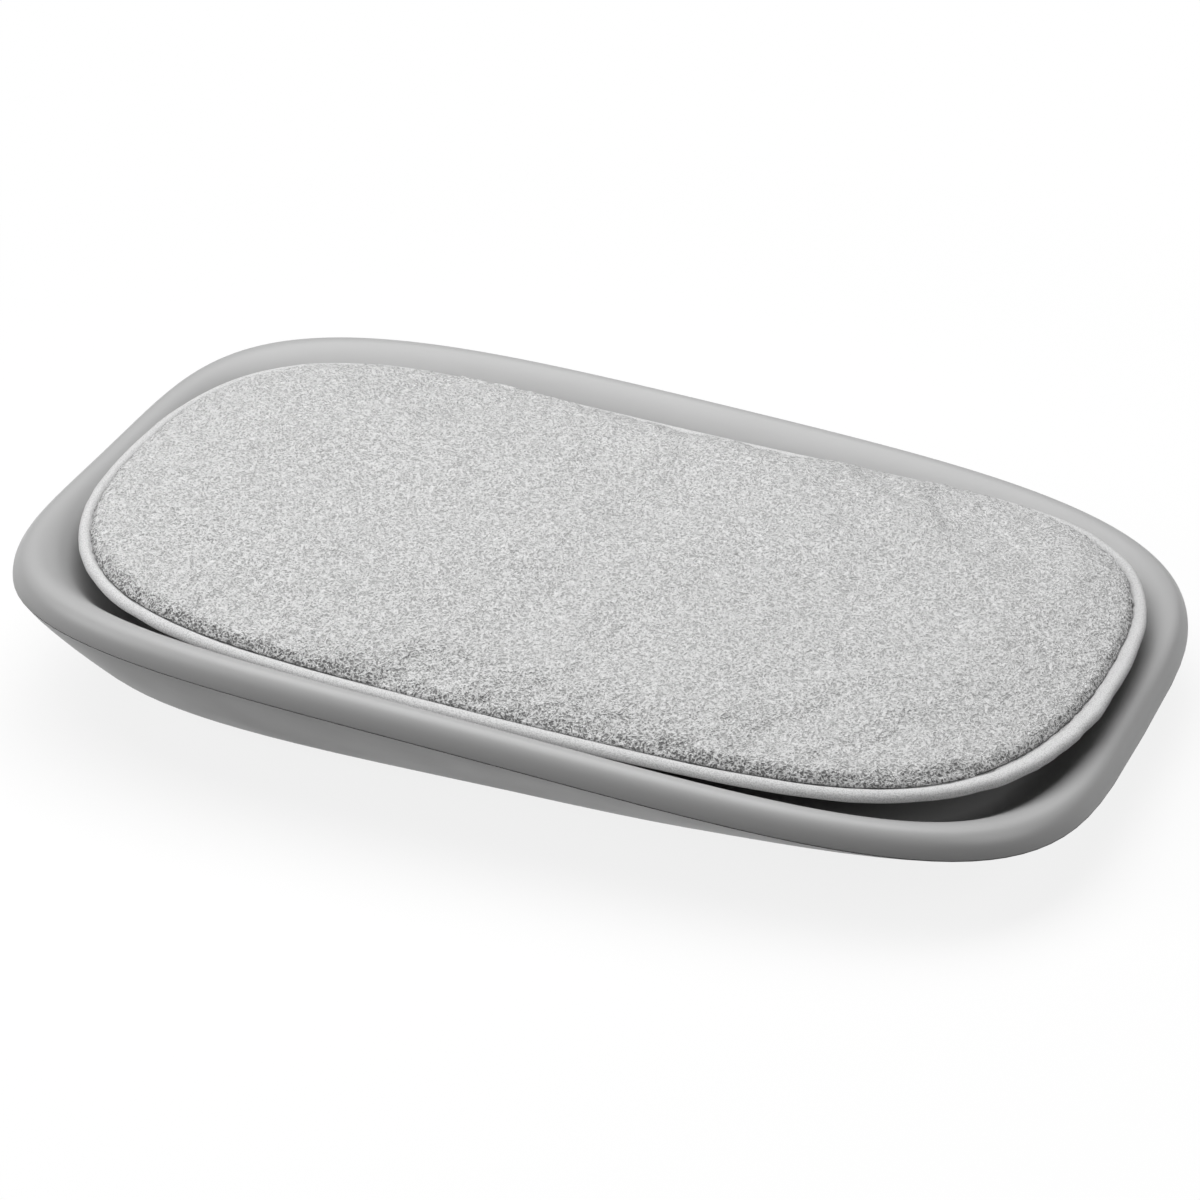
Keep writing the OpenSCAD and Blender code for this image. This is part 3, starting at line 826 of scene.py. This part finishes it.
def piping(material):
    """The jersey piping: a soft tube that wanders a little, with its sewn-in flange."""
    angles, plan, normal = outline_frame(PIPING_STATIONS)
    around = np.stack([np.cos(angles), np.sin(angles)], -1)
    wander = 0.0003 * lattice_noise(around, cell=0.16, seed=31)
    wander += 0.0002 * lattice_noise(around, cell=0.06, seed=32)
    swell = 1 + 0.05 * lattice_noise(around, cell=0.09, seed=33)
    height = piping_z(plan[:, 0])
    low_end = low_end_share(angles)
    wander += low_end * 0.0005 * lattice_noise(around, cell=0.05, seed=34)
    opening = math.asin(FLANGE_HALF / PIPING_R)
    turns = np.linspace(math.pi - opening, opening - math.pi, PIPING_TURNS)
    flange_end = -PIPING_R - FLANGE_W
    rings = []
    for k in range(PIPING_STATIONS):
        out = PIPING_R * swell[k] * np.cos(turns)
        out = np.where(out < 0, out * (1 + WIDE_SHARE * low_end[k]), out)
        up = PIPING_R * swell[k] * np.sin(turns)
        out = np.concatenate([[flange_end], out, [flange_end]]) + wander[k]
        up = np.concatenate([[FLANGE_HALF], up, [-FLANGE_HALF]])
        ring = np.empty((len(out), 3))
        ring[:, :2] = plan[k] + out[:, None] * normal[k]
        ring[:, 2] = height[k] + up
        rings.append(ring)
    rings = np.array(rings)[::-1]
    piece = lofted("piping", rings, material, "cushion", hoop=True)
    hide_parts("piping_cover")


def piping_cord(material):
    """The cotton cord inside the piping."""
    _, plan, normal = outline_frame(CORD_STATIONS)
    turns = np.linspace(0, 2 * math.pi, CORD_TURNS, endpoint=False)
    rings = []
    for k in range(len(plan)):
        ring = np.empty((len(turns), 3))
        ring[:, :2] = plan[k] + CORD_R * np.cos(turns)[:, None] * normal[k]
        ring[:, 2] = piping_z(plan[k, 0]) + CORD_R * np.sin(turns)
        rings.append(ring)
    rings = np.array(rings)
    piece = lofted("piping_cord_core", rings, material, "cushion", hoop=True)
    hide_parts("piping_cord")


def foam_filling(material):
    """The foam slab inside the panels, just inside the piping's flange."""
    inset = PIPING_R + FLANGE_W + FOAM_GAP
    angles = even_angles(CUSHION_NX, CUSHION_NY, CUSHION_HL, CUSHION_HW, FOAM_STATIONS)
    unit = unit_outline(CUSHION_NX, CUSHION_NY, angles)

    def plan_at(share):
        """The foam's outline drawn in to a share of its size."""
        return unit * (CUSHION_HL - inset, CUSHION_HW - inset) * share + (CUSHION_X, 0)

    rings = []
    for share in FOAM_SHARES:
        plan = plan_at(share)
        high = piping_z(plan[:, 0]) + top_rise(share) - FOAM_TOP_GAP
        rings.append(np.column_stack([plan, high]))
    for share in FOAM_SHARES[::-1]:
        plan = plan_at(share)
        rest = dish_floor_z(plan[:, 0]) + FLOOR_CLEAR
        edge = piping_z(plan[:, 0]) - PANEL_LIFT
        free = rest + (edge - rest) * under_lift(share)
        low = np.maximum(dish_z(plan[:, 0], plan[:, 1]) + SLOPE_CLEAR, free)
        rings.append(np.column_stack([plan, low + CLOTH_T + FOAM_GAP]))
    piece = lofted("foam_filling", rings, material, "cushion")
    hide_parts("cushion_core")


# ---- studio ----

FLOOR_HALF = 12.0
FLOOR_GAP = 0.0002                 # below the feet
AMBIENT = 0.38                     # level of the world's light on the pad
PAD_MIDDLE = (0, 0, 0.05)


def seen_directly(tree):
    """1 for rays that show the backdrop: from the camera, in a reflection or through glass."""
    path = tree.nodes.new("ShaderNodeLightPath")
    seen = maths(tree, "MAXIMUM", path.outputs["Is Camera Ray"], path.outputs["Is Glossy Ray"])
    return maths(tree, "MAXIMUM", seen, path.outputs["Is Transmission Ray"])


def studio_floor():
    """A floor that shows white with a faint shadow, and sends little light up to the pad."""
    mesh = bpy.data.meshes.new("floor")
    h = FLOOR_HALF
    mesh.from_pydata([(-h, -h, 0), (h, -h, 0), (h, h, 0), (-h, h, 0)], [], [(0, 1, 2, 3)])
    floor = bpy.data.objects.new("floor", mesh)
    bpy.context.scene.collection.objects.link(floor)
    floor.location.z = cad_box[0][2] - FLOOR_GAP
    material = bpy.data.materials.new("floor")
    material.use_nodes = True
    tree = material.node_tree
    tree.nodes.remove(tree.nodes["Principled BSDF"])
    out = tree.nodes["Material Output"]
    place = tree.nodes.new("ShaderNodeTexCoord").outputs["Object"]
    reach = node(tree, "ShaderNodeVectorMath", {"operation": "LENGTH"}, i0=place).outputs["Value"]
    glow_share = remap(tree, reach, low=0.28, high=0.62, to_low=0.84, to_high=1.0)
    lit = node(tree, "ShaderNodeBsdfDiffuse", None, Color=grey(0.96))
    glow = node(tree, "ShaderNodeEmission", None, Color=grey(1.0), Strength=1.0)
    shown = tree.nodes.new("ShaderNodeMixShader")
    tree.links.new(glow_share, shown.inputs[0])
    tree.links.new(lit.outputs[0], shown.inputs[1])
    tree.links.new(glow.outputs[0], shown.inputs[2])
    dull = node(tree, "ShaderNodeBsdfDiffuse", None, Color=grey(0.10))
    both = tree.nodes.new("ShaderNodeMixShader")
    tree.links.new(seen_directly(tree), both.inputs[0])
    tree.links.new(dull.outputs[0], both.inputs[1])
    tree.links.new(shown.outputs[0], both.inputs[2])
    tree.links.new(both.outputs[0], out.inputs["Surface"])
    mesh.materials.append(material)


def studio_world():
    """Even light from all round, and white where the world itself is seen."""
    world = bpy.data.worlds.new("studio")
    bpy.context.scene.world = world
    world.use_nodes = True
    tree = world.node_tree
    back = tree.nodes["Background"]
    level = remap(tree, seen_directly(tree), low=0.0, high=1.0, to_low=AMBIENT, to_high=1.0)
    tree.links.new(level, back.inputs["Strength"])


def softbox(name, place, aim, wide, deep, power):
    """A rectangular area lamp turned to a point."""
    light = bpy.data.lights.new(name, "AREA")
    light.shape, light.size, light.size_y, light.energy = "RECTANGLE", wide, deep, power
    lamp = bpy.data.objects.new(name, light)
    lamp.location = place
    lamp.rotation_euler = (Vector(place) - Vector(aim)).to_track_quat("Z", "Y").to_euler()
    bpy.context.scene.collection.objects.link(lamp)


def studio_lights():
    """Four soft lamps: the main one overhead, one at each side and a weak one behind."""
    softbox("top_softbox", (-0.2, 0.1, 1.35), PAD_MIDDLE, wide=1.7, deep=1.3, power=23.0)
    softbox("left_softbox", (-1.35, -1.0, 0.85), (-0.1, 0, 0.05), wide=0.9, deep=0.6, power=9.0)
    softbox("right_softbox", (1.5, -0.2, 0.9), PAD_MIDDLE, wide=1.1, deep=0.8, power=6.0)
    softbox("back_softbox", (-0.1, 1.8, 0.8), PAD_MIDDLE, wide=2.2, deep=0.6, power=2.0)


# ---- the whole pad ----

def make_pad():
    """Every piece with its finish. The CAD nodes that stay get theirs too."""
    tray_plastic = moulded_plastic("tray_plastic", 0.44)
    base_plastic = moulded_plastic("base_plastic", 0.42)
    rubber = foot_rubber()
    tray_moulding(tray_plastic)
    refine_cad("base_shell", base_plastic, sharp_degrees=40)
    refine_cad("screws", screw_steel(), sharp_degrees=30)
    for name in frame["record"]["behaviour"]["bodies"]["tray"]:
        if name.startswith("foot_"):
            refine_cad(name, rubber, sharp_degrees=40)
    top_panel(terry_cloth())
    under_panel(jersey("under_cloth", 0.45, gap_shade_value=0.3, stitch=0.0009, depth=0.0005))
    piping(jersey("piping_cloth", 0.72, gap_shade_value=0.55, stitch=0.0006, depth=0.00025))
    piping_cord(twisted_cotton())
    foam_filling(soft_foam())


make_camera()
make_pad()
studio_floor()
studio_world()
studio_lights()
bpy.context.scene.view_settings.view_transform = "Standard"
